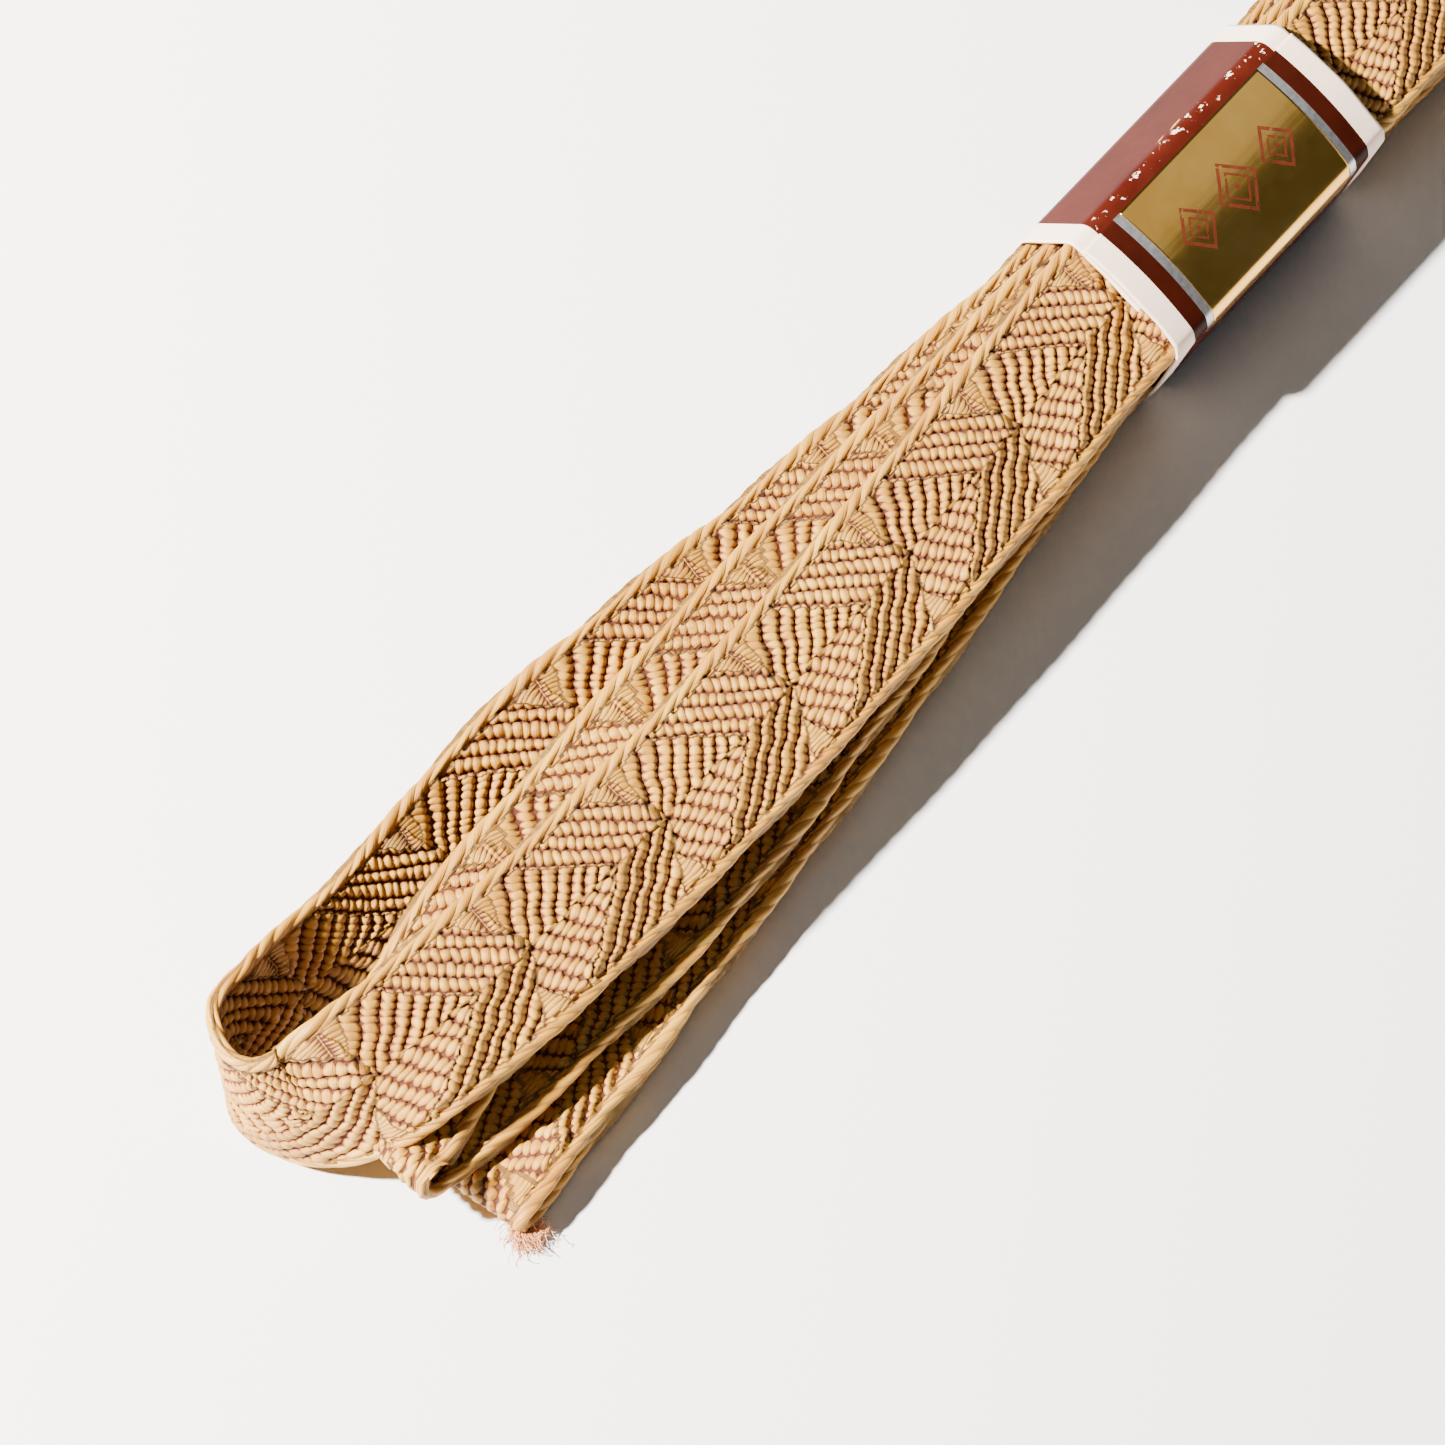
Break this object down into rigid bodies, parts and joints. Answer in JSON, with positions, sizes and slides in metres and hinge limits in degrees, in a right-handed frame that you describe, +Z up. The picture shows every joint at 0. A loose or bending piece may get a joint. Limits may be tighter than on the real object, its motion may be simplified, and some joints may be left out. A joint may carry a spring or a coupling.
{
  "type": "braided sash cord hank",
  "caption": "Flat braided silk sash cord folded into a flat hank, with tasselled ends and a glued paper band that slides along it.",
  "frame": {"origin": "centre of the flat underside of the paper band, on the surface that the hank lies on", "axes": "+X along the hank from the open folds to the tassels, +Z up, +Y completes a right-handed set"},
  "size_m": [0.2997, 0.039, 0.0187],
  "materials": {
    "silk_braid": "satin",
    "silk_thread": "satin",
    "silk_fringe": "satin",
    "printed_paper": "gloss",
    "gold_foil": "polished",
    "dried_glue": "matte"
  },
  "bodies": {
    "hank": {"cord": "silk_braid", "binding_upper": "silk_thread", "binding_lower": "silk_thread", "tassel_upper": "silk_fringe", "tassel_lower": "silk_fringe"},
    "band": {"band_paper": "printed_paper", "foil_panel": "gold_foil", "glue_strip": "dried_glue"}
  },
  "joints": [
    {"name": "band_slide", "type": "slide", "parent": "hank", "child": "band", "axis": [1, 0, 0], "range_m": [0, 0.05]}
  ]
}
